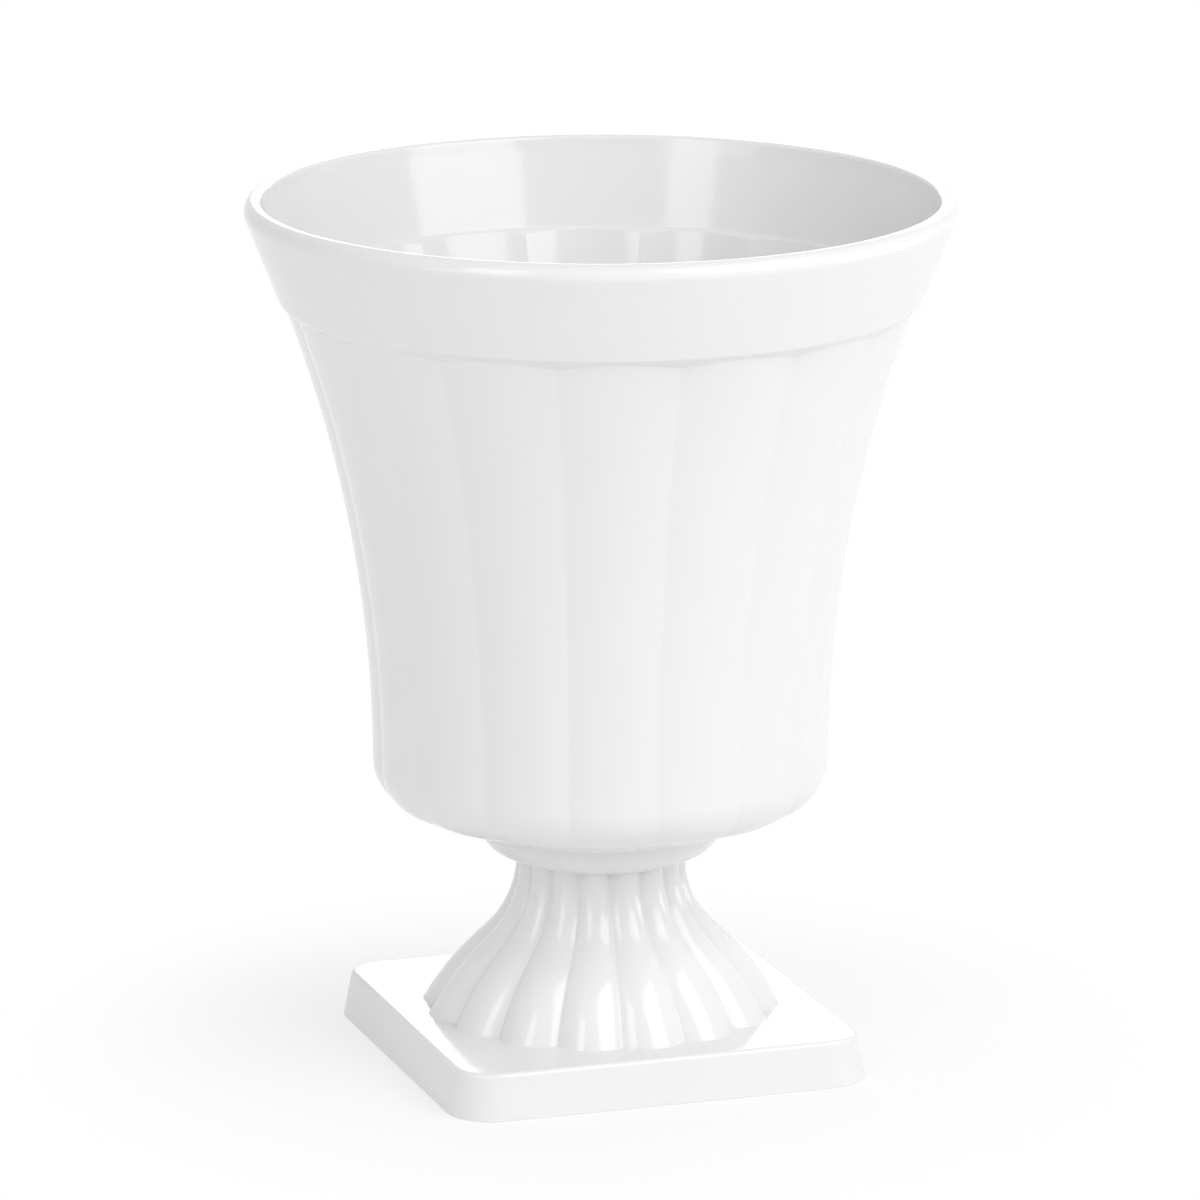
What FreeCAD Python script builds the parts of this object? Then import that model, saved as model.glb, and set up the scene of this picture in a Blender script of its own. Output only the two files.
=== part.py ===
import FreeCAD, Part
import math
import os

# Two-piece moulded urn planter. All sizes in millimetres, all angles in degrees.
# The origin is the middle of the square footprint, on the floor, with +Z up.
# The sides of the square plinth run along X and Y.

V = FreeCAD.Vector
UP = V(0, 0, 1)
AXIS_POINT = V(0, 0, 0)

# ---- the urn as a whole ----
urn_height = 377.5
rim_diameter = 305.0
lobe_count = 16          # panels round the bowl, and as many reeds round the pedestal
bowl_turn = 7.3          # the bowl is clamped this far round from the pedestal's reeds
lobe_steps = 4           # chords across one panel or reed
lobe_sag = 0.6           # upright curves of panels and reeds are stepped within this
ring_sag = 0.5           # and small turned roundings within this

# ---- bowl: lip and band ----
bowl_wall = 4.5
lip_round = 5.25         # rounding of the lip's outer edge
lip_width = 6.0
lip_depth = 8.0          # height of the lip's inner face
band_height = 49.0
band_flare = 21.3        # from the vertical
band_chamfer_flare = 43.0
band_chamfer_rise = 6.0  # height of the slanted edge under the band
band_corner_round = 6.0
ledge_rise = 10.0        # the ledge inside starts this far above the band's lower edge
ledge_slope = 45.0
ledge_reach = 9.0

# ---- bowl: lobed body ----
waist_radius = 98.9
body_top_inset = 18.6    # the body's top, at the band's lower edge, stands in from the rim by this
base_round = 20.0
base_slope = 18.0        # underside, from the horizontal
panel_groove = 0.985     # groove radius over panel radius

# ---- bowl: collar over the pedestal's neck ----
collar_top_radius = 53.0
collar_rise = 9.5        # the collar meets the bowl's underside this far above the pedestal
collar_low_radius = 41.4
collar_bulge = 3.4       # how far the collar's quarter round stands out from its chord
collar_sink = 0.8        # the quarter round ends this far inside the body
skirt_lap = 3.7          # the collar's skirt hangs this far below the pedestal's deck
skirt_land = 1.2
skirt_wall = 4.0
sump_draft = 2.5

# ---- pedestal ----
pedestal_wall = 3.0
pedestal_height = 92.0
neck_radius = 36.8
neck_run = 6.0           # straight part of the neck
flare_round = 45.0
flare_slope = 46.0       # steepest spread of the flare, from the vertical
flare_run = 9.0          # straight part of the flare
foot_round = 75.0
reed_groove = 0.925      # groove radius over reed radius
neck_clearance = 0.6

# ---- plinth ----
plinth_side = 188.6
plinth_height = 20.0
plinth_draft = 11.0
plinth_corner = 20.0
corner_steps = 5         # chords round one corner
plinth_top_round = 3.5
corner_rib = 2.5
corner_rib_depth = 11.0

# ---- deck of the pedestal: hub, spokes and drain windows ----
deck_thickness = 4.0
hub_radius = 14.0
deck_ring = 5.0          # width of the ring that the bowl's floor rests on
spoke_count = 3
spoke_width = 9.0
gusset_thickness = 3.0
gusset_depth = 10.0
gusset_reach = 11.0

# ---- drain holes and their plugs ----
drain_radius = 5.0
drain_circle = 21.5
plug_clearance = 0.1
plug_flange_flats = 14.6  # width of the eight-sided flange
plug_flange_sides = 8
plug_flange = 2.0
plug_stem_below = 3.0
plug_tab_width = 9.0
plug_tab_top = 6.0       # width at the tab's upper edge
plug_tab_height = 8.0
plug_tab_thickness = 2.4

# ---- clamping hardware ----
bolt_radius = 4.0
bolt_clearance = 0.5
washer_clearance = 0.2
thread_clearance = 0.05
bolt_head_flats = 13.0
bolt_head = 5.3
bolt_tail = 2.5          # thread showing past the nut
seal_radius = 10.5
seal_thickness = 2.0
washer_radius = 11.0
washer_thickness = 1.6
nut_hub_radius = 8.0
nut_height = 8.0
wing_span = 36.0
wing_depth = 17.0
wing_thickness = 3.2
wing_drop = 1.5          # the wings start this far below the nut's face
wing_tip = 7.0           # width and height of an ear's tip

# ---- derived levels and radii ----
rim_radius = rim_diameter / 2
band_low = urn_height - band_height
body_top_radius = rim_radius - body_top_inset
collar_top_height = pedestal_height + collar_rise
deck_top = pedestal_height
deck_low = deck_top - deck_thickness
floor_low = deck_top
floor_top = floor_low + bowl_wall
skirt_low = deck_top - skirt_lap
neck_turn_height = deck_top - neck_run
seal_top = floor_top + seal_thickness
nut_seat = deck_low - washer_thickness
spoke_pitch = 360.0 / spoke_count


def rad(degrees):
    return math.radians(degrees)


def polar(radius, degrees, z):
    return V(radius * math.cos(rad(degrees)), radius * math.sin(rad(degrees)), z)


def section_point(radius, z):
    return V(radius, 0, z)


def line(a, b):
    return Part.LineSegment(a, b).toShape()


def arc(a, middle, b):
    return Part.Arc(a, middle, b).toShape()


def arc_about(centre, radius, start, end):
    """Arc in the XZ plane about centre, from one direction to another, in degrees from +X to +Z."""
    def at(degrees):
        return centre + V(radius * math.cos(rad(degrees)), 0, radius * math.sin(rad(degrees)))
    return arc(at(start), at((start + end) / 2), at(end))


def bulged_arc(a, b, bulge):
    """Arc from a to b in the XZ plane that stands out from its chord by bulge, on the right of a to b."""
    along = b - a
    side = V(along.z, 0, -along.x)
    side.normalize()
    return arc(a, (a + b) * 0.5 + side * bulge, b)


def flat_face(points):
    return Part.Face(Part.makePolygon(points + points[:1]))


def revolved_outline(points):
    return flat_face(points).revolve(AXIS_POINT, UP, 360)


def upright_plate(points, thickness):
    """Plate centred on the XZ plane, over an outline in it."""
    plate = flat_face(points).extrude(V(0, thickness, 0))
    plate.translate(V(0, -thickness / 2, 0))
    return plate


def flat_sided(sides, flats, low, height):
    """Upright prism with the given number of sides, and flats as its width across them."""
    pitch = 360.0 / sides
    corner = flats / 2 / math.cos(rad(pitch / 2))
    return flat_face([polar(corner, pitch * i, low) for i in range(sides)]).extrude(V(0, 0, height))


def cylinder(radius, low, high, at=AXIS_POINT):
    return Part.makeCylinder(radius, high - low, V(at.x, at.y, low), UP)


def turned(shape, degrees):
    copy = shape.copy()
    copy.rotate(AXIS_POINT, UP, degrees)
    return copy


def stepped(edges, sag):
    """Points along joined edges, where the chords of an arc leave it by no more than sag."""
    points = [edges[0].Vertexes[0].Point]
    for edge in edges:
        steps = 1
        if edge.Curve.TypeId == "Part::GeomCircle":
            widest = 2 * math.acos(1 - sag / edge.Curve.Radius)
            steps = math.ceil((edge.LastParameter - edge.FirstParameter) / widest)
        points += edge.discretize(Number=steps + 1)[1:]
    return points


def stack(rings):
    """Solid through rings of points, from the bottom up. Sides keep their directions, so faces are flat."""
    faces = [flat_face(rings[0]), flat_face(rings[-1])]
    for low, high in zip(rings, rings[1:]):
        for i in range(len(low)):
            faces.append(flat_face([low[i - 1], low[i], high[i], high[i - 1]]))
    shell = Part.makeShell(faces)
    shell.sewShape()
    return Part.makeSolid(shell)


def bow(a, middle, b, steps):
    """Points along the arc from a through middle, without b."""
    return arc(a, middle, b).discretize(Number=steps + 1)[:-1]


def lobed_ring(point, groove):
    """Ring of shallow bows through a point of the section, which meet in grooves."""
    half = 180.0 / lobe_count
    cusp = point.x * groove
    ring = []
    for i in range(lobe_count):
        crest = 2 * half * i
        ring += bow(polar(cusp, crest - half, point.z), polar(point.x, crest, point.z),
                    polar(cusp, crest + half, point.z), lobe_steps)
    return ring


def lobed_solid(section, groove):
    """Stack of lobed rings along a section that runs upwards. The rings differ only in scale."""
    return stack([lobed_ring(point, groove) for point in stepped(section, lobe_sag)])


# ---------------------------------------------------------------- bowl

def body_section(inset, start_radius, top):
    """Middle line of a panel, moved in by inset: sloping underside, base rounding, hollow flare."""
    slope = rad(base_slope)
    round_centre = waist_radius - base_round
    rise = (base_round + (round_centre - collar_top_radius) * math.sin(slope)) / math.cos(slope)
    waist_height = collar_top_height + rise
    body_rise = band_low - waist_height
    body_spread = body_top_radius - waist_radius
    flare = (body_rise ** 2 + body_spread ** 2) / (2 * body_spread)

    base_arc = arc_about(section_point(round_centre, waist_height), base_round - inset, base_slope - 90, 0)
    tangent = base_arc.Vertexes[0].Point
    start = section_point(start_radius, tangent.z - (tangent.x - start_radius) * math.tan(slope))
    lean = math.degrees(math.asin((top - waist_height) / (flare + inset)))
    flare_centre = section_point(waist_radius + flare, waist_height)
    flare_arc = arc_about(flare_centre, flare + inset, 180, 180 - lean)
    return [line(start, tangent), base_arc, flare_arc]


def band_outer_radius(z):
    """Radius of the band's straight outer face at a height."""
    flare = rad(band_flare)
    tangent_radius = rim_radius - lip_round + lip_round * math.cos(flare)
    tangent_height = urn_height - lip_round - lip_round * math.sin(flare)
    return tangent_radius - (tangent_height - z) * math.tan(flare)


def band_solid():
    """Outer form of the band and lip, solid to the axis."""
    lip_centre = section_point(rim_radius - lip_round, urn_height - lip_round)
    lip_arc = arc_about(lip_centre, lip_round, -band_flare, 90)
    corner_height = band_low + band_chamfer_rise
    corner = section_point(band_outer_radius(corner_height), corner_height)
    turn = rad(band_chamfer_flare - band_flare)
    setback = band_corner_round * math.tan(turn / 2)
    above = corner + V(math.sin(rad(band_flare)), 0, math.cos(rad(band_flare))) * setback
    round_centre = above - V(math.cos(rad(band_flare)), 0, -math.sin(rad(band_flare))) * band_corner_round
    corner_arc = arc_about(round_centre, band_corner_round, -band_chamfer_flare, -band_flare)
    low = section_point(corner.x - band_chamfer_rise * math.tan(rad(band_chamfer_flare)), band_low)
    axis_low = section_point(0, band_low)
    axis_top = section_point(0, urn_height)
    rounded = stepped([corner_arc], ring_sag) + stepped([lip_arc], ring_sag)
    return revolved_outline([axis_low, low] + rounded + [axis_top])


def band_hollow():
    """Space inside the band: lip face, flared inner wall and the sloping ledge below it."""
    wall = bowl_wall / math.cos(rad(band_flare))
    lip_foot = urn_height - lip_depth
    ledge_top = band_low + ledge_rise
    ledge_radius = band_outer_radius(ledge_top) - wall
    ledge_low = ledge_top - ledge_reach * math.tan(rad(ledge_slope))
    lip_face = rim_radius - lip_width
    above = urn_height + lip_width
    return revolved_outline([
        section_point(0, ledge_low),
        section_point(ledge_radius - ledge_reach, ledge_low),
        section_point(ledge_radius, ledge_top),
        section_point(band_outer_radius(lip_foot) - wall, lip_foot),
        section_point(lip_face, lip_foot),
        section_point(lip_face, above),
        section_point(0, above),
    ])


def collar_solid():
    """Quarter-round collar over the pedestal's neck."""
    top = collar_top_height + collar_sink
    quarter = bulged_arc(section_point(collar_low_radius, skirt_low), section_point(collar_top_radius, top),
                         collar_bulge)
    return revolved_outline([section_point(0, skirt_low)] + stepped([quarter], ring_sag)
                            + [section_point(0, top)])


def skirt_hollow():
    """Socket under the bowl's floor that drops over the pedestal's neck."""
    bore = neck_radius + neck_clearance
    wide = collar_low_radius + (collar_top_radius - collar_low_radius) / 2 - skirt_wall
    return revolved_outline([
        section_point(0, skirt_low - skirt_land),
        section_point(bore, skirt_low - skirt_land),
        section_point(bore, skirt_low + skirt_land),
        section_point(wide, floor_low),
        section_point(0, floor_low),
    ])


def sump_radius():
    return collar_top_radius - bowl_wall - sump_draft


def sump_hollow():
    """Drain sump inside the collar, over the bowl's floor."""
    top = collar_top_height + 2 * bowl_wall
    return revolved_outline([
        section_point(0, floor_top),
        section_point(sump_radius(), floor_top),
        section_point(sump_radius() + sump_draft, top),
        section_point(0, top),
    ])


def drain_angles():
    """Directions of the drain holes, each over a window between two spokes."""
    return [spoke_pitch * (i + 0.5) for i in range(spoke_count)]


def bowl():
    outer_top = band_low + band_chamfer_rise
    inner_top = band_low + ledge_rise + bowl_wall
    start = sump_radius()
    outside = lobed_solid(body_section(0, start, outer_top), panel_groove)
    inside = lobed_solid(body_section(bowl_wall, start - bowl_wall, inner_top), panel_groove)
    shape = turned(outside, bowl_turn).fuse([band_solid(), collar_solid()])
    hollows = [turned(inside, bowl_turn), band_hollow(), sump_hollow(), skirt_hollow(),
               cylinder(bolt_radius + bolt_clearance, floor_low, floor_top)]
    for degrees in drain_angles():
        hollows.append(cylinder(drain_radius, floor_low, floor_top, polar(drain_circle, degrees, 0)))
    return shape.cut(hollows)


# ---------------------------------------------------------------- pedestal

def flare_section(inset, low, high):
    """Middle line of a reed, moved in by inset: rounded foot, straight, hollow flare, neck."""
    slope = rad(flare_slope)
    flare_centre = section_point(neck_radius + flare_round, neck_turn_height)
    flare_arc = arc_about(flare_centre, flare_round + inset, 180 + flare_slope, 180)
    flare_low = flare_arc.Vertexes[0].Point
    straight_low = flare_low + V(math.sin(slope), 0, -math.cos(slope)) * flare_run
    swell = foot_round - inset
    foot_centre = straight_low - V(math.cos(slope), 0, math.sin(slope)) * swell
    foot_turn = math.degrees(math.asin((low - foot_centre.z) / swell))
    foot_arc = arc_about(foot_centre, swell, foot_turn, flare_slope)
    neck_low = flare_arc.Vertexes[-1].Point
    neck = line(neck_low, section_point(neck_low.x, high))
    return [foot_arc, line(straight_low, flare_low), flare_arc, neck]


def rounded_square(half, corner, z):
    """Ring of points round a square with rounded corners."""
    ring = []
    for i in range(4):
        turn = 90.0 * i
        arc_centre = polar((half - corner) * math.sqrt(2), turn + 45, z)
        start, middle, end = [arc_centre + polar(corner, turn + share, 0) for share in (0, 45, 90)]
        ring += bow(start, middle, end, corner_steps) + [end]
    return ring


def drafted_slab(levels):
    """Square slab whose sides lean in with height. Each level is a height and how far its sides move in."""
    rings = []
    for z, inset in levels:
        shift = inset + z * math.tan(rad(plinth_draft))
        rings.append(rounded_square(plinth_side / 2 - shift, plinth_corner - shift, z))
    return stack(rings)


def plinth_solid():
    """Slab with a rounded upper edge."""
    centre = section_point(-plinth_top_round, plinth_height - plinth_top_round)
    edge = arc_about(centre, plinth_top_round, 0, 90)
    rounded = [(point.z, -point.x) for point in stepped([edge], ring_sag)]
    return drafted_slab([(0, 0)] + rounded)


def plinth_hollow(inset, low, high):
    return drafted_slab([(low, inset), (high, inset)])


def deck_windows():
    """Openings between the hub, the spokes and the deck's ring, for water from the bowl."""
    outer = neck_radius * reed_groove - deck_ring
    ring = cylinder(outer, deck_low, deck_top).cut(cylinder(hub_radius, deck_low, deck_top))
    spokes = []
    for i in range(spoke_count):
        corner = V(0, -spoke_width / 2, deck_low)
        bar = Part.makeBox(outer + spoke_width, spoke_width, deck_thickness, corner)
        spokes.append(turned(bar, spoke_pitch * i))
    return ring.cut(spokes)


def gussets():
    """Triangular webs that brace each spoke against the neck's wall."""
    wall_radius = neck_radius * reed_groove - pedestal_wall / 2
    webs = []
    for i in range(spoke_count):
        tip = section_point(wall_radius - gusset_reach, deck_low)
        root = section_point(wall_radius, deck_low)
        foot = section_point(wall_radius, deck_low - gusset_depth)
        webs.append(turned(upright_plate([tip, root, foot], gusset_thickness), spoke_pitch * i))
    return webs


def corner_ribs():
    """Upright ribs under the plinth's top, from the foot of the flare to each corner."""
    foot_radius = flare_section(0, plinth_height, deck_top)[0].Vertexes[0].X
    top = plinth_height - pedestal_wall
    inner = plinth_hollow(pedestal_wall / 2, 0, top)
    ribs = []
    for i in range(4):
        bar = Part.makeBox(plinth_side, corner_rib, corner_rib_depth,
                           V(foot_radius, -corner_rib / 2, top - corner_rib_depth))
        ribs.append(turned(bar, 45 + 90 * i).common(inner))
    return ribs


def pedestal():
    plate_low = plinth_height - pedestal_wall
    overlap = pedestal_wall / 2
    flare = lobed_solid(flare_section(0, plate_low + overlap, deck_top), reed_groove)
    core = lobed_solid(flare_section(pedestal_wall, plate_low - overlap, deck_top), reed_groove)
    core = core.cut(cylinder(neck_radius, deck_low, deck_top))
    shape = plinth_solid().fuse(flare)
    shape = shape.cut([core, plinth_hollow(pedestal_wall, -overlap, plate_low)])
    shape = shape.fuse(gussets() + corner_ribs())
    bolt_hole = cylinder(bolt_radius + bolt_clearance, deck_low, deck_top)
    return shape.cut([deck_windows(), bolt_hole])


# ---------------------------------------------------------------- clamping hardware

def flat_ring(outer, inner, low, thickness):
    return cylinder(outer, low, low + thickness).cut(cylinder(inner, low, low + thickness))


def sealing_washer():
    return flat_ring(seal_radius, bolt_radius + washer_clearance, floor_top, seal_thickness)


def nut_washer():
    return flat_ring(washer_radius, bolt_radius + washer_clearance, nut_seat, washer_thickness)


def centre_bolt():
    head = flat_sided(6, bolt_head_flats, seal_top, bolt_head)
    return head.fuse(cylinder(bolt_radius, nut_seat - nut_height - bolt_tail, seal_top))


def wing():
    """One ear of the wing nut, in the XZ plane."""
    root = bolt_radius + thread_clearance + wing_thickness / 2
    tip = wing_span / 2
    low = nut_seat - wing_depth
    return upright_plate([section_point(root, nut_seat - wing_drop),
                          section_point(tip, low + wing_tip),
                          section_point(tip, low),
                          section_point(tip - wing_tip, low),
                          section_point(root, nut_seat - nut_height)], wing_thickness)


def wing_nut():
    hub = cylinder(nut_hub_radius, nut_seat - nut_height, nut_seat)
    body = hub.fuse([wing(), turned(wing(), 180)])
    return body.cut(cylinder(bolt_radius + thread_clearance, nut_seat - wing_depth, nut_seat))


# ---------------------------------------------------------------- drain plugs

def plug_tab():
    """Upright tab, narrower at the top, to pull the plug out by."""
    low = floor_top + plug_flange
    top = low + plug_tab_height
    return upright_plate([section_point(-plug_tab_width / 2, low),
                          section_point(plug_tab_width / 2, low),
                          section_point(plug_tab_top / 2, top),
                          section_point(-plug_tab_top / 2, top)], plug_tab_thickness)


def drain_plug(centre, degrees):
    """Push-in stopper: stem, flange that rests on the floor, and a tab to pull it by."""
    stem = cylinder(drain_radius - plug_clearance, floor_low - plug_stem_below, floor_top)
    flange = flat_sided(plug_flange_sides, plug_flange_flats, floor_top, plug_flange)
    plug = turned(stem.fuse([flange, plug_tab()]), degrees)
    plug.translate(V(centre.x, centre.y, 0))
    return plug


# ---------------------------------------------------------------- output

def parts():
    named = {
        "bowl": bowl(),
        "pedestal": pedestal(),
        "sealing_washer": sealing_washer(),
        "centre_bolt": centre_bolt(),
        "nut_washer": nut_washer(),
        "wing_nut": wing_nut(),
    }
    for number, degrees in enumerate(drain_angles(), 1):
        named["drain_plug_%d" % number] = drain_plug(polar(drain_circle, degrees, 0), degrees)
    return named


os.makedirs("parts", exist_ok=True)
for name, shape in parts().items():
    shape.exportStep("parts/%s.step" % name)
    print("%-16s solids %d  valid %s  volume %.0f"
          % (name, len(shape.Solids), shape.isValid(), shape.Volume))
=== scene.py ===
"""Looks of the moulded urn planter: smooth skins, materials, camera and light round the CAD frame."""
import math

import bmesh
import bpy
from mathutils import Matrix, Vector


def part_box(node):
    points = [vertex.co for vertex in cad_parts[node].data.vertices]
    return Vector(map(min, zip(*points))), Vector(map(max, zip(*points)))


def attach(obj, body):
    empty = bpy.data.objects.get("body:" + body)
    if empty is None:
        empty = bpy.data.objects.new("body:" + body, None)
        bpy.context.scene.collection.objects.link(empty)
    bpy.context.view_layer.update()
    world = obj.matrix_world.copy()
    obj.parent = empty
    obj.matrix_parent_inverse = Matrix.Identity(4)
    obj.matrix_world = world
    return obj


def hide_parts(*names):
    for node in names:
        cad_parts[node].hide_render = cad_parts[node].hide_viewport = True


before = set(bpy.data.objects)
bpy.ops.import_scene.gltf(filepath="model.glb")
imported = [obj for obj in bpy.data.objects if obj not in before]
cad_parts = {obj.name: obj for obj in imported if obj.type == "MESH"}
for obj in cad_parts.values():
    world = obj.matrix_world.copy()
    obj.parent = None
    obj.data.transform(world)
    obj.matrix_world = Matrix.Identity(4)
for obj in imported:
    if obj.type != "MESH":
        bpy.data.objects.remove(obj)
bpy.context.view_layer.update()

# Shape sizes are in millimetres and degrees, as in the part's source. The frame is in metres.
MM = 0.001
bowl_box = [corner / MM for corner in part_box("bowl")]
pedestal_box = [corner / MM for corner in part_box("pedestal")]
urn_height = bowl_box[1].z
rim_radius = bowl_box[1].x
plinth_side = pedestal_box[1].x * 2
deck_top = pedestal_box[1].z
skirt_low = bowl_box[0].z

lobe_count = 16
half_lobe = math.pi / lobe_count
bowl_turn = 7.3          # how far the bowl's panels stand off the pedestal's reeds
groove_half = 0.5        # half of the soft bottom of a groove, in degrees round the axis

# How far an edge is cut back along both its sides before it is rounded.
crisp_edge = 0.3
bead_edge = 0.35
fine_edge = 0.4
plain_edge = 0.5
soft_edge = 0.6
collar_edge = 0.8
inner_edge = 0.9
floor_edge = 1.0
lip_edge = 2.5

# Bowl: band and rolled lip. A flare is an angle from upright.
bowl_wall = 4.5
band_wall = 5.3
lip_round = 5.25
lip_inner_round = 2.2
lip_lean = 12.0
lip_depth = 6.0
band_height = 49.0
band_flare = 21.3
band_chamfer_flare = 50.0
band_chamfer_rise = 6.0
band_corner_round = 3.0
ledge_rise = 10.0
ledge_slope = 28.0

# Bowl: lobed body. A groove is the share of the crest's radius that its bottom lies at.
waist_radius = 98.9
body_top_radius = 133.9
base_round = 20.0
base_slope = 18.0
panel_groove = 0.985

# Bowl: collar, bead, skirt and sump.
collar_top_radius = 53.0
collar_top_height = 101.5
collar_sink = 0.8
collar_low_radius = 41.4
collar_bulge = 3.4
bead_radius = 40.7
bead_height = 1.1
skirt_land = 1.2
skirt_wall = 4.0
sump_draft = 2.5
neck_clearance = 0.6

# Pedestal: stem, plinth, and the deck under the bowl's floor.
pedestal_wall = 3.0
neck_radius = 36.8
neck_run = 6.0
flare_round = 45.0
flare_slope = 46.0
flare_run = 9.0
foot_round = 110.0
reed_groove = 0.925

plinth_height = 20.0
plinth_draft = 11.0
plinth_corner = 20.0
plinth_top_round = 1.8
plinth_corners = 4
corner_rib = 2.5
corner_rib_depth = 11.0

deck_thickness = 4.0
hub_radius = 14.0
deck_ring = 5.0
spoke_count = 3
spoke_width = 9.0
gusset_thickness = 3.0
gusset_depth = 10.0
gusset_reach = 11.0
bolt_hole = 4.5
drain_radius = 5.0
drain_circle = 21.5

band_low = urn_height - band_height
band_corner_height = band_low + band_chamfer_rise
bead_top = skirt_low + bead_height
floor_low = deck_top
floor_top = floor_low + bowl_wall
deck_low = deck_top - deck_thickness
plate_low = plinth_height - pedestal_wall
spoke_pitch = 2 * math.pi / spoke_count


# ---------------------------------------------------------------- section helpers

def rad(degrees):
    return math.radians(degrees)


def arc_points(centre, radius, start, end, steps):
    """(radius, height) points along an arc, from one direction to another, both ends included."""
    points = []
    for i in range(steps + 1):
        angle = rad(start + (end - start) * i / steps)
        points.append((centre[0] + radius * math.cos(angle), centre[1] + radius * math.sin(angle)))
    return points


def between(low, high, steps):
    return [low + (high - low) * i / steps for i in range(steps + 1)]


def crossing(difference, low, high):
    """Where a rising difference passes zero, found by halving."""
    halvings = 30
    for _ in range(halvings):
        middle = (low + high) / 2
        if difference(middle) > 0:
            high = middle
        else:
            low = middle
    return (low + high) / 2


# ---------------------------------------------------------------- plans: where a row lies round the axis

# A stop is a place across one lobe: on its arc, or in the soft groove before it. Its share runs
# from -1 to 1 across the arc or groove, and the arc's stops lie closer together at its ends.
groove_shares = [-0.5, 0.0, 0.5]
arc_shares = [0.2, 0.4, 0.6, 0.8, 0.93, 1.0]
lobe_shares = [-share for share in reversed(arc_shares)] + [0.0] + arc_shares
lobe_stops = [("groove", share) for share in groove_shares] + [("lobe", share) for share in lobe_shares]


def lobe_reach(crest, cusp, angle):
    """Distance from the axis of the arc through the crest and both cusps, at an angle from the crest."""
    centre = (crest ** 2 - cusp ** 2) / (2 * (crest - cusp * math.cos(half_lobe)))
    radius = crest - centre
    return centre * math.cos(angle) + math.sqrt(radius ** 2 - (centre * math.sin(angle)) ** 2)


def lobe_plan(crest, cusp, stop):
    """A stop's place in plan, with the lobe's crest on the X axis."""
    kind, share = stop
    edge = half_lobe - rad(groove_half)
    if kind == "lobe":
        angle = share * edge
        return Matrix.Rotation(angle, 2) @ Vector((lobe_reach(crest, cusp, angle), 0))
    reach = lobe_reach(crest, cusp, edge)
    this_edge = Matrix.Rotation(-edge, 2) @ Vector((reach, 0))
    last_edge = Matrix.Rotation(edge - 2 * half_lobe, 2) @ Vector((reach, 0))
    bottom = Matrix.Rotation(-half_lobe, 2) @ Vector((cusp, 0))
    s = (1 + share) / 2
    return last_edge * (1 - s) ** 2 + bottom * (2 * s * (1 - s)) + this_edge * s ** 2


def ring(radius):
    return lambda stop, turn: Matrix.Rotation(turn, 2) @ lobe_plan(radius, radius, stop)


def lobed(crest, groove):
    return lambda stop, turn: Matrix.Rotation(turn, 2) @ lobe_plan(crest, crest * groove, stop)


def rounded_square(inset, z):
    """Outline of the drafted plinth at a height, moved in by inset."""
    shift = inset + z * math.tan(rad(plinth_draft))
    half = plinth_side / 2 - shift
    corner = plinth_corner - shift

    def place(stop, turn):
        ray = Matrix.Rotation(turn, 2) @ lobe_plan(half, half, stop)
        ray.normalize()
        side = half / max(abs(ray.x), abs(ray.y))
        if min(abs(ray.x), abs(ray.y)) * side <= half - corner:
            return ray * side
        middle = half - corner
        along = (abs(ray.x) + abs(ray.y)) * middle
        return ray * (along + math.sqrt(along ** 2 - 2 * middle ** 2 + corner ** 2))
    return place


# ---------------------------------------------------------------- meshes

def softened(points, rounds):
    """Closed ring of points with each corner cut back by its own distance and rounded."""
    steps = 3
    most = 0.45          # largest share of a side that a corner may take
    result = []
    for i, corner in enumerate(points):
        if rounds[i] == 0:
            result.append(corner)
            continue
        before = points[i - 1] - corner
        after = points[(i + 1) % len(points)] - corner
        start = corner + before.normalized() * min(rounds[i], before.length * most)
        end = corner + after.normalized() * min(rounds[i], after.length * most)
        for step in range(steps + 1):
            s = step / steps
            result.append(start * (1 - s) ** 2 + corner * (2 * s * (1 - s)) + end * s ** 2)
    return result


def skin(name, rows_at, turn):
    """Closed mesh made of columns round the axis, turned by an angle in degrees.

    rows_at gives a stop's rows as (plan, height, rounding).
    """
    merge_distance = 0.001 * MM
    bm = bmesh.new()
    columns = []
    for lobe in range(lobe_count):
        for stop in lobe_stops:
            rows = rows_at(stop)
            points = []
            for plan, z, _ in rows:
                place = plan(stop, 2 * half_lobe * lobe + rad(turn))
                points.append(Vector((place.x, place.y, z)))
            points = softened(points, [rounding for _, _, rounding in rows])
            columns.append([bm.verts.new(point * MM) for point in points])
    for column, following in zip(columns, columns[1:] + columns[:1]):
        for i in range(len(column)):
            bm.faces.new((column[i - 1], following[i - 1], following[i], column[i]))
    bmesh.ops.remove_doubles(bm, verts=bm.verts, dist=merge_distance)
    bmesh.ops.recalc_face_normals(bm, faces=bm.faces)
    return mesh_object(name, bm)


def mesh_object(name, bm):
    mesh = bpy.data.meshes.new(name)
    bm.to_mesh(mesh)
    bm.free()
    obj = bpy.data.objects.new(name, mesh)
    bpy.context.scene.collection.objects.link(obj)
    return obj


def prism(bm, outline, low, high):
    """Upright prism over an outline of (x, y) points, in millimetres."""
    base = bm.faces.new([bm.verts.new(Vector((x, y, low)) * MM) for x, y in outline])
    lifted = bmesh.ops.extrude_face_region(bm, geom=[base])["geom"]
    verts = [item for item in lifted if isinstance(item, bmesh.types.BMVert)]
    bmesh.ops.translate(bm, verts=verts, vec=Vector((0, 0, high - low)) * MM)


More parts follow.
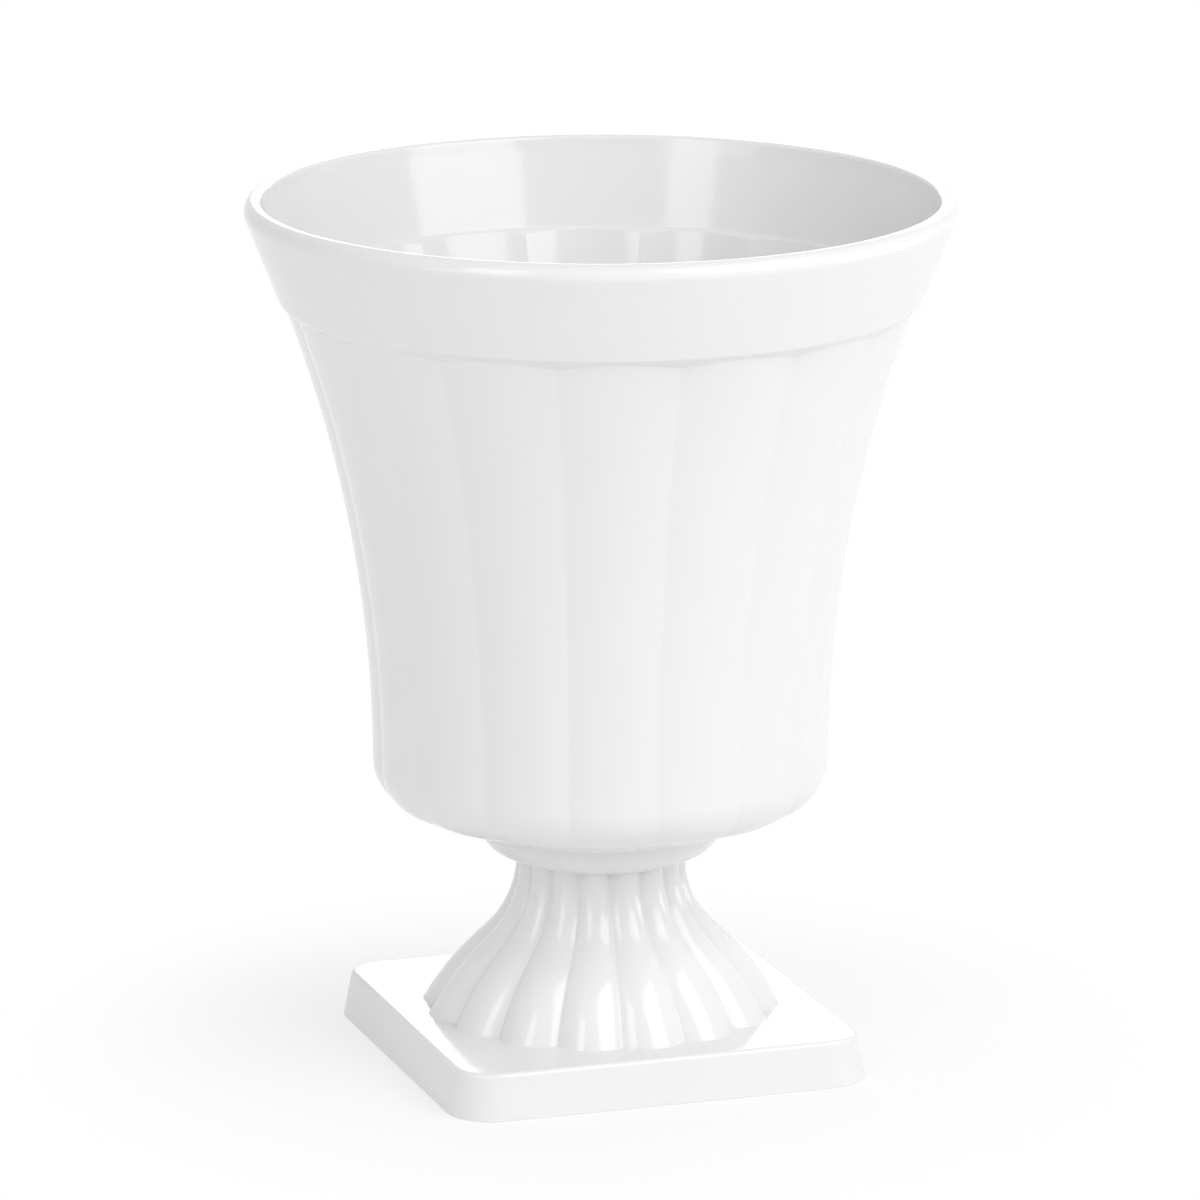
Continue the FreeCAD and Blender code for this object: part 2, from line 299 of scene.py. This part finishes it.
def cut_away(obj, outlines, low, high):
    """Cuts upright prisms out of a mesh, from just below the low height to just above the high one."""
    overcut = 1
    bm = bmesh.new()
    for outline in outlines:
        prism(bm, outline, low - overcut, high + overcut)
    bmesh.ops.recalc_face_normals(bm, faces=bm.faces)
    cutter = mesh_object(obj.name + "_cutter", bm)
    cut = obj.modifiers.new("cut", "BOOLEAN")
    cut.operation = "DIFFERENCE"
    cut.solver = "EXACT"
    cut.object = cutter
    bake(obj)
    bpy.data.objects.remove(cutter)


def bake(obj):
    """Puts the result of an object's modifiers into its mesh."""
    graph = bpy.context.evaluated_depsgraph_get()
    baked = bpy.data.meshes.new_from_object(obj.evaluated_get(graph))
    obj.modifiers.clear()
    obj.data = baked


def smooth(obj, sharp_angle=38):
    """Smooth shading, save at edges that turn by more than the sharp angle."""
    obj.data.shade_smooth()
    obj.data.set_sharp_from_angle(angle=rad(sharp_angle))
    weighted = obj.modifiers.new("weighted", "WEIGHTED_NORMAL")
    weighted.keep_sharp = True


def circle(radius, centre, count=48):
    return [(centre[0] + radius * math.cos(2 * math.pi * i / count),
             centre[1] + radius * math.sin(2 * math.pi * i / count)) for i in range(count)]


# ---------------------------------------------------------------- bowl

slope = rad(base_slope)
round_centre = waist_radius - base_round
waist_height = collar_top_height + (
    base_round + (round_centre - collar_top_radius) * math.sin(slope)) / math.cos(slope)
base_centre = (round_centre, waist_height)
body_rise = band_low - waist_height
body_spread = body_top_radius - waist_radius
body_flare = (body_rise ** 2 + body_spread ** 2) / (2 * body_spread)
sump_radius = collar_top_radius - bowl_wall - sump_draft


def flare_crest(z, inset):
    """Crest of the body's hollow flare at a height, moved in by inset."""
    return waist_radius + body_flare - math.sqrt((body_flare + inset) ** 2 - (z - waist_height) ** 2)


def base_tangent(inset):
    """Where the sloping underside runs into the base rounding, as (crest, height)."""
    inner = base_round - inset
    return round_centre + inner * math.sin(slope), waist_height - inner * math.cos(slope)


def slope_height(crest, inset):
    """Height of the sloping underside where its crest is at a radius."""
    tangent = base_tangent(inset)
    return tangent[1] - (tangent[0] - crest) * math.tan(slope)


def band_face(z):
    """Radius of the band's straight outer face."""
    lean = rad(band_flare)
    tangent_radius = rim_radius - lip_round + lip_round * math.cos(lean)
    tangent_height = urn_height - lip_round - lip_round * math.sin(lean)
    return tangent_radius - (tangent_height - z) * math.tan(lean)


def band_inside(z):
    """Radius of the band's straight inner face."""
    return band_face(z) - band_wall / math.cos(rad(band_flare))


def collar_arc(share):
    """Point along the collar's quarter round, at a share of its length."""
    low = Vector((collar_low_radius, bead_top))
    top = Vector((collar_top_radius, collar_top_height + collar_sink))
    chord = top - low
    radius = ((chord.length / 2) ** 2 + collar_bulge ** 2) / (2 * collar_bulge)
    side = Vector((chord.y, -chord.x)).normalized()
    centre = (low + top) / 2 - side * (radius - collar_bulge)
    turn = (2 * share - 1) * math.asin(chord.length / 2 / radius)
    return centre + Matrix.Rotation(turn, 2) @ side * radius


def panel_reach(crest, stop):
    """Distance of a panel from the axis at a stop, where its crest is at a radius."""
    return lobe_plan(crest, crest * panel_groove, stop).length


def panel_crest(radius, stop):
    """Crest of the panel that lies at a distance from the axis at a stop."""
    return crossing(lambda crest: panel_reach(crest, stop) - radius, low=radius * 0.95, high=radius * 1.05)


def panel(crest, z, rounding=0.0):
    """Row on the bowl's lobed wall."""
    return lobed(crest, panel_groove), z, rounding


def skirt_rows():
    """Under the floor, down inside the skirt and up the bead."""
    skirt_wide = collar_low_radius + (collar_top_radius - collar_low_radius) / 2 - skirt_wall
    skirt_inside = neck_radius + neck_clearance
    return [(ring(bolt_hole), floor_low, crisp_edge),
            (ring(skirt_wide), floor_low, soft_edge),
            (ring(skirt_inside), skirt_low + skirt_land, crisp_edge),
            (ring(skirt_inside), skirt_low, crisp_edge),
            (ring(bead_radius), skirt_low, fine_edge),
            (ring(bead_radius), bead_top, bead_edge)]


def underside_rows(stop):
    """Up the collar, out along the sloping underside and round the base."""
    def above_body(share):
        point = collar_arc(share)
        return point.y - slope_height(panel_crest(point.x, stop), 0)
    collar_end = crossing(above_body, low=0.8, high=1.0)
    collar = [collar_arc(share) for share in between(0, collar_end, steps=10)[:-1]]
    join = collar_arc(collar_end)
    rows = [(ring(point.x), point.y, 0.0) for point in collar]
    rows.append((ring(join.x), join.y, collar_edge))

    crests = between(panel_crest(join.x, stop), base_tangent(0)[0], steps=6)[1:-1]
    rows += [panel(crest, slope_height(crest, 0)) for crest in crests]
    base = arc_points(base_centre, base_round, base_slope - 90, 0, steps=14)
    return rows + [panel(crest, z) for crest, z in base]


def flare_rows(stop):
    """Up the body's hollow flare and out under the band, to the chamfer's lower edge."""
    chamfer_lean = math.tan(rad(band_chamfer_flare))
    chamfer_low = band_face(band_corner_height) - band_chamfer_rise * chamfer_lean

    def outside_body(z):
        return chamfer_low + (z - band_low) * chamfer_lean - panel_reach(flare_crest(z, 0), stop)
    end = crossing(outside_body, band_low, band_corner_height)
    end_crest = flare_crest(end, 0)
    rows = [panel(flare_crest(z, 0), z) for z in between(waist_height, end, steps=24)[1:-1]]
    rows.append(panel(end_crest, end, plain_edge))
    rows.append((ring(max(chamfer_low, panel_reach(end_crest, stop))), end, crisp_edge))
    return rows


def band_rows():
    """Round the band's lower corner, up its outer face and over the rolled lip."""
    lean = rad(band_flare)
    corner = Vector((band_face(band_corner_height), band_corner_height))
    setback = band_corner_round * math.tan(rad(band_chamfer_flare - band_flare) / 2)
    above = corner + Vector((math.sin(lean), math.cos(lean))) * setback
    centre = above - Vector((math.cos(lean), -math.sin(lean))) * band_corner_round
    points = arc_points(centre, band_corner_round, -band_chamfer_flare, -band_flare, steps=4)
    lip_centre = (rim_radius - lip_round, urn_height - lip_round)
    points += arc_points(lip_centre, lip_round, -band_flare, 90, steps=12)
    return [(ring(r), z, 0.0) for r, z in points]


def lip_rows():
    """Inner side of the rolled lip, from its top down to where it runs into the band's inner face."""
    centre = (rim_radius - lip_round, urn_height - lip_inner_round)
    points = arc_points(centre, lip_inner_round, 90, 180 - lip_lean, steps=6)[1:]
    top_radius, top = points[-1]
    low = urn_height - lip_depth
    low_radius = top_radius - (top - low) * math.tan(rad(lip_lean))
    return [(ring(r), z, 0.0) for r, z in points] + [(ring(low_radius), low, lip_edge)]


def inside_rows(stop):
    """Down the band's inner face, over the ledge, down the body's inside and round its base."""
    ledge_top = band_low + ledge_rise
    ledge_radius = band_inside(ledge_top)
    ledge_run = 1 / math.tan(rad(ledge_slope))

    def outside_body(z):
        return ledge_radius - (ledge_top - z) * ledge_run - panel_reach(flare_crest(z, bowl_wall), stop)
    ledge_low = crossing(outside_body, band_low, ledge_top)
    rows = [(ring(ledge_radius), ledge_top, soft_edge),
            panel(flare_crest(ledge_low, bowl_wall), ledge_low, fine_edge)]
    heights = between(ledge_low, waist_height, steps=22)[1:]
    rows += [panel(flare_crest(z, bowl_wall), z) for z in heights]
    base = arc_points(base_centre, base_round - bowl_wall, 0, base_slope - 90, steps=12)[1:]
    return rows + [panel(crest, z) for crest, z in base]


def sump_rows(stop):
    """In along the sloping base to the sump's edge, down its face and across its floor."""
    sump_rise = collar_top_height + 2 * bowl_wall - floor_top

    def outside_sump(crest):
        height = slope_height(crest, bowl_wall) - floor_top
        return panel_reach(crest, stop) - (sump_radius + sump_draft * height / sump_rise)
    edge = crossing(outside_sump, sump_radius, sump_radius + 2 * sump_draft)
    crests = between(base_tangent(bowl_wall)[0], edge, steps=5)[1:-1]
    rows = [panel(crest, slope_height(crest, bowl_wall)) for crest in crests]
    rows.append(panel(edge, slope_height(edge, bowl_wall), inner_edge))
    return rows + [(ring(sump_radius), floor_top, floor_edge), (ring(bolt_hole), floor_top, crisp_edge)]


def bowl_rows(stop):
    """Rows round the bowl's wall: under the floor, up the outside, over the lip and down the inside."""
    outside = skirt_rows() + underside_rows(stop) + flare_rows(stop) + band_rows()
    return outside + lip_rows() + inside_rows(stop) + sump_rows(stop)


def build_bowl():
    obj = skin("bowl_skin", bowl_rows, bowl_turn)
    drains = []
    for i in range(spoke_count):
        angle = spoke_pitch * (i + 0.5)
        centre = (drain_circle * math.cos(angle), drain_circle * math.sin(angle))
        drains.append(circle(drain_radius, centre))
    cut_away(obj, drains, floor_low, floor_top)
    return obj


# ---------------------------------------------------------------- pedestal

def pedestal_section(inset, low):
    """Points down the crest of a reed: hollow flare, straight, and rounded foot down to a height."""
    lean = rad(flare_slope)
    centre = (neck_radius + flare_round, deck_top - neck_run)
    points = arc_points(centre, flare_round + inset, 180, 180 + flare_slope, steps=16)
    straight_low = Vector(points[-1]) + Vector((math.sin(lean), -math.cos(lean))) * flare_run
    swell = foot_round - inset
    foot_centre = straight_low - Vector((math.cos(lean), math.sin(lean))) * swell
    foot_turn = math.degrees(math.asin((low - foot_centre.y) / swell))
    return points + arc_points(foot_centre, swell, flare_slope, foot_turn, steps=9)


def pedestal_rows(stop):
    """Rows round the pedestal's wall: over the deck, down the reeds, round the plinth and up inside."""
    def reed(crest, z, rounding=0.0):
        return lobed(crest, reed_groove), z, rounding

    outside = pedestal_section(0, plinth_height)
    inside = pedestal_section(pedestal_wall, plate_low)
    rows = [(ring(bolt_hole), deck_top, crisp_edge), reed(neck_radius, deck_top, fine_edge)]
    rows += [reed(r, z) for r, z in outside[:-1]]
    rows.append(reed(*outside[-1], plain_edge))
    edge_centre = (-plinth_top_round, plinth_height - plinth_top_round)
    for r, z in arc_points(edge_centre, plinth_top_round, 90, 0, steps=6):
        rows.append((rounded_square(-r, z), z, 0.0))
    rows += [(rounded_square(0, 0), 0, plain_edge),
             (rounded_square(pedestal_wall, 0), 0, plain_edge),
             (rounded_square(pedestal_wall, plate_low), plate_low, floor_edge)]
    rows.append(reed(*inside[-1], inner_edge))
    rows += [reed(r, z) for r, z in reversed(inside[:-1])]
    rows += [reed(neck_radius - pedestal_wall, deck_low, soft_edge),
             (ring(bolt_hole), deck_low, crisp_edge)]
    return rows


def window_outline(middle):
    """Sector between hub and deck ring, less half a spoke at each side."""
    outer = neck_radius * reed_groove - deck_ring
    points = []
    for radius, way in ((outer, 1), (hub_radius, -1)):
        side = spoke_pitch / 2 - math.asin(spoke_width / 2 / radius)
        for share in between(-way, way, steps=12):
            angle = middle + side * share
            points.append((radius * math.cos(angle), radius * math.sin(angle)))
    return points


def upright_plate(bm, outline, thickness, turn):
    """Plate that stands in a plane through the axis. Outline is (radius, height) points."""
    verts = [bm.verts.new(Vector((r, -thickness / 2, z)) * MM) for r, z in outline]
    face = bm.faces.new(verts)
    lifted = bmesh.ops.extrude_face_region(bm, geom=[face])["geom"]
    moved = [item for item in lifted if isinstance(item, bmesh.types.BMVert)]
    bmesh.ops.translate(bm, verts=moved, vec=Vector((0, thickness, 0)) * MM)
    bmesh.ops.rotate(bm, verts=verts + moved, cent=(0, 0, 0), matrix=Matrix.Rotation(turn, 3, "Z"))


def add_gussets(bm):
    """Gussets between the spokes and the neck's wall, sunk into the wall by half of it."""
    wall = neck_radius * reed_groove - pedestal_wall / 2
    gusset = [(wall - gusset_reach, deck_low), (wall, deck_low), (wall, deck_low - gusset_depth)]
    for i in range(spoke_count):
        upright_plate(bm, gusset, gusset_thickness, spoke_pitch * i)


def add_corner_ribs(bm):
    """Ribs from the foot out to the plinth's corners, sunk into the wall by half of it."""
    foot = pedestal_section(0, plinth_height)[-1][0]
    corner = (plinth_side / 2 - plinth_corner) * math.sqrt(2) + plinth_corner - pedestal_wall / 2
    lean = math.tan(rad(plinth_draft))
    rib_low = plate_low - corner_rib_depth
    rib = [(foot, rib_low), (corner - rib_low * lean, rib_low),
           (corner - plate_low * lean, plate_low), (foot, plate_low)]
    for i in range(plinth_corners):
        upright_plate(bm, rib, corner_rib, 2 * math.pi / plinth_corners * (i + 0.5))


def build_pedestal():
    obj = skin("pedestal_skin", pedestal_rows, 0)
    windows = [window_outline(spoke_pitch * (i + 0.5)) for i in range(spoke_count)]
    cut_away(obj, windows, deck_low, deck_top)
    bm = bmesh.new()
    bm.from_mesh(obj.data)
    add_gussets(bm)
    add_corner_ribs(bm)
    bmesh.ops.recalc_face_normals(bm, faces=bm.faces)
    bm.to_mesh(obj.data)
    bm.free()
    return obj


# ---------------------------------------------------------------- materials

def new_material(name):
    material = bpy.data.materials.new(name)
    material.use_nodes = True
    return material, material.node_tree, material.node_tree.nodes["Principled BSDF"]


def noise(tree, scale, detail=4.0):
    """Noise in object space, in features per metre."""
    place = tree.nodes.new("ShaderNodeTexCoord")
    texture = tree.nodes.new("ShaderNodeTexNoise")
    texture.inputs["Scale"].default_value = scale
    texture.inputs["Detail"].default_value = detail
    tree.links.new(place.outputs["Object"], texture.inputs["Vector"])
    return texture.outputs["Fac"]


def spread(tree, value, low, high):
    """Maps a 0 to 1 value to a range."""
    remap = tree.nodes.new("ShaderNodeMapRange")
    remap.inputs["To Min"].default_value = low
    remap.inputs["To Max"].default_value = high
    tree.links.new(value, remap.inputs["Value"])
    return remap.outputs["Result"]


def blended(tree, value, first, second):
    mix = tree.nodes.new("ShaderNodeMix")
    mix.data_type = "RGBA"
    mix.inputs["A"].default_value = (*first, 1)
    mix.inputs["B"].default_value = (*second, 1)
    tree.links.new(value, mix.inputs["Factor"])
    return mix.outputs["Result"]


def bumped(tree, shader, value, distance, strength):
    bump = tree.nodes.new("ShaderNodeBump")
    bump.inputs["Distance"].default_value = distance
    bump.inputs["Strength"].default_value = strength
    tree.links.new(value, bump.inputs["Height"])
    tree.links.new(bump.outputs["Normal"], shader.inputs["Normal"])


def moulded_plastic(name, pale, deep, roughness, ripple):
    """Moulded plastic: faint mottling, uneven gloss and the slight waviness of a moulding."""
    material, tree, shader = new_material(name)
    tree.links.new(blended(tree, noise(tree, 35), pale, deep), shader.inputs["Base Color"])
    tree.links.new(spread(tree, noise(tree, 90), *roughness), shader.inputs["Roughness"])
    shader.inputs["IOR"].default_value = 1.49
    bumped(tree, shader, noise(tree, 55, 2.0), ripple, 1.0)
    return material


def rubber(name):
    material, tree, shader = new_material(name)
    tree.links.new(blended(tree, noise(tree, 300), (0.035, 0.035, 0.037), (0.05, 0.05, 0.052)),
                   shader.inputs["Base Color"])
    tree.links.new(spread(tree, noise(tree, 700), 0.6, 0.8), shader.inputs["Roughness"])
    bumped(tree, shader, noise(tree, 2500), 0.00005, 0.6)
    return material


def zinc(name):
    """Zinc-plated steel with a faint grain."""
    material, tree, shader = new_material(name)
    shader.inputs["Metallic"].default_value = 1.0
    tree.links.new(blended(tree, noise(tree, 250), (0.60, 0.61, 0.62), (0.70, 0.70, 0.69)),
                   shader.inputs["Base Color"])
    tree.links.new(spread(tree, noise(tree, 900), 0.22, 0.4), shader.inputs["Roughness"])
    bumped(tree, shader, noise(tree, 3000), 0.00003, 0.5)
    return material


def dress(obj, material):
    obj.data.materials.clear()
    obj.data.materials.append(material)


white = moulded_plastic("white_plastic", pale=(0.83, 0.83, 0.825), deep=(0.81, 0.81, 0.805),
                        roughness=(0.10, 0.15), ripple=0.0001)
plug_white = moulded_plastic("plug_plastic", pale=(0.78, 0.78, 0.77), deep=(0.72, 0.72, 0.71),
                             roughness=(0.4, 0.55), ripple=0.00002)
black_rubber = rubber("black_rubber")
zinc_steel = zinc("zinc_steel")

bowl_skin = build_bowl()
pedestal_skin = build_pedestal()
for obj, node in ((bowl_skin, "bowl"), (pedestal_skin, "pedestal")):
    smooth(obj)
    dress(obj, white)
    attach(obj, "urn")
    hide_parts(node)

node_finish = {"sealing_washer": black_rubber, "centre_bolt": zinc_steel,
               "nut_washer": zinc_steel, "wing_nut": zinc_steel}
for name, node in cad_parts.items():
    dress(node, node_finish.get(name, plug_white if name.startswith("drain_plug") else white))


# ---------------------------------------------------------------- floor, camera, light

def shown_white(tree):
    """1 for rays that should see the white surround: from the camera, in gloss and through glass."""
    path = tree.nodes.new("ShaderNodeLightPath")
    rays = path.outputs["Is Camera Ray"]
    for kind in ("Is Glossy Ray", "Is Transmission Ray"):
        either = tree.nodes.new("ShaderNodeMath")
        either.operation = "MAXIMUM"
        tree.links.new(rays, either.inputs[0])
        tree.links.new(path.outputs[kind], either.inputs[1])
        rays = either.outputs[0]
    return rays


def build_floor():
    """Pale floor that shows white, save for the object's shadow, and whiter still away from the object."""
    bm = bmesh.new()
    bmesh.ops.create_grid(bm, x_segments=1, y_segments=1, size=floor_reach)
    floor = mesh_object("floor", bm)
    material, tree, shader = new_material("floor_white")
    tree.links.new(blended(tree, noise(tree, 8), floor_pale, floor_deep), shader.inputs["Base Color"])
    shader.inputs["Roughness"].default_value = 0.9
    shader.inputs["Specular IOR Level"].default_value = 0.0

    place = tree.nodes.new("ShaderNodeTexCoord")
    away = tree.nodes.new("ShaderNodeVectorMath")
    away.operation = "LENGTH"
    tree.links.new(place.outputs["Object"], away.inputs[0])
    fade = tree.nodes.new("ShaderNodeMapRange")
    fade.interpolation_type = "SMOOTHSTEP"
    fade.inputs["From Min"].default_value = shadow_near
    fade.inputs["From Max"].default_value = shadow_far
    fade.inputs["To Min"].default_value = floor_glow
    fade.inputs["To Max"].default_value = 1.0
    tree.links.new(away.outputs["Value"], fade.inputs["Value"])
    share = tree.nodes.new("ShaderNodeMath")
    share.operation = "MULTIPLY"
    tree.links.new(fade.outputs["Result"], share.inputs[0])
    tree.links.new(shown_white(tree), share.inputs[1])

    glow = tree.nodes.new("ShaderNodeEmission")
    mix = tree.nodes.new("ShaderNodeMixShader")
    tree.links.new(share.outputs[0], mix.inputs["Fac"])
    tree.links.new(shader.outputs[0], mix.inputs[1])
    tree.links.new(glow.outputs[0], mix.inputs[2])
    tree.links.new(mix.outputs[0], tree.nodes["Material Output"].inputs["Surface"])
    dress(floor, material)


def direction(azimuth, elevation):
    """Towards the viewer at an azimuth, counted from the front, and an elevation."""
    return Vector((math.sin(azimuth) * math.cos(elevation), -math.cos(azimuth) * math.cos(elevation),
                   math.sin(elevation)))


def look_back(obj, target, back, distance):
    obj.location = target + back * distance
    obj.rotation_euler = (-back).to_track_quat("-Z", "Y").to_euler()
    bpy.context.scene.collection.objects.link(obj)


def build_camera():
    """Camera of the photograph: a long lens, a little above the rim."""
    data = bpy.data.cameras.new("camera")
    data.sensor_width = 36
    data.lens = camera_lens
    data.shift_x = camera_shift
    camera = bpy.data.objects.new("camera", data)
    target = Vector((0, 0, camera_target_height))
    look_back(camera, target, direction(camera_azimuth, rad(camera_elevation)), camera_distance)
    bpy.context.scene.camera = camera


def softbox(name, azimuth, elevation, distance, size, power):
    """Rectangular lamp that faces the middle of the urn, at an azimuth counted from the camera's."""
    data = bpy.data.lights.new(name, "AREA")
    data.shape = "RECTANGLE"
    data.size, data.size_y = size
    data.energy = power
    lamp = bpy.data.objects.new(name, data)
    middle = Vector((0, 0, urn_height / 2 * MM))
    look_back(lamp, middle, direction(camera_azimuth + rad(azimuth), rad(elevation)), distance)


def build_world():
    """White surround, and a plain level of light from all round."""
    world = bpy.data.worlds.new("world")
    bpy.context.scene.world = world
    world.use_nodes = True
    tree = world.node_tree
    background = tree.nodes["Background"]
    background.inputs["Color"].default_value = (1, 1, 1, 1)
    tree.links.new(spread(tree, shown_white(tree), surround_light, 1.0), background.inputs["Strength"])


# Lengths here are in metres, and lamp powers in watts.
floor_reach = 8.0
floor_pale = (0.93, 0.93, 0.93)
floor_deep = (0.92, 0.92, 0.92)
floor_glow = 0.62        # how much of the near floor shows plain white
shadow_near = 0.10       # the floor turns plain white between these distances
shadow_far = 0.27
surround_light = 0.5

camera_azimuth = rad(-18.64)
camera_elevation = 13.783
camera_distance = 3.3808
camera_target_height = 0.20015
camera_lens = 234.78
camera_shift = -0.00059

build_floor()
build_camera()
build_world()
softbox("key", azimuth=52, elevation=38, distance=2.2, size=(1.6, 1.8), power=25)
softbox("side", azimuth=97, elevation=3, distance=2.2, size=(1.2, 0.5), power=5)
softbox("fill", azimuth=-35, elevation=33, distance=2.4, size=(0.7, 1.29), power=7.5)
softbox("low", azimuth=-40, elevation=14, distance=2.4, size=(1.4, 0.8), power=5)
softbox("back", azimuth=175, elevation=20, distance=2.4, size=(1.6, 1.0), power=9)

bpy.context.scene.view_settings.view_transform = "Standard"
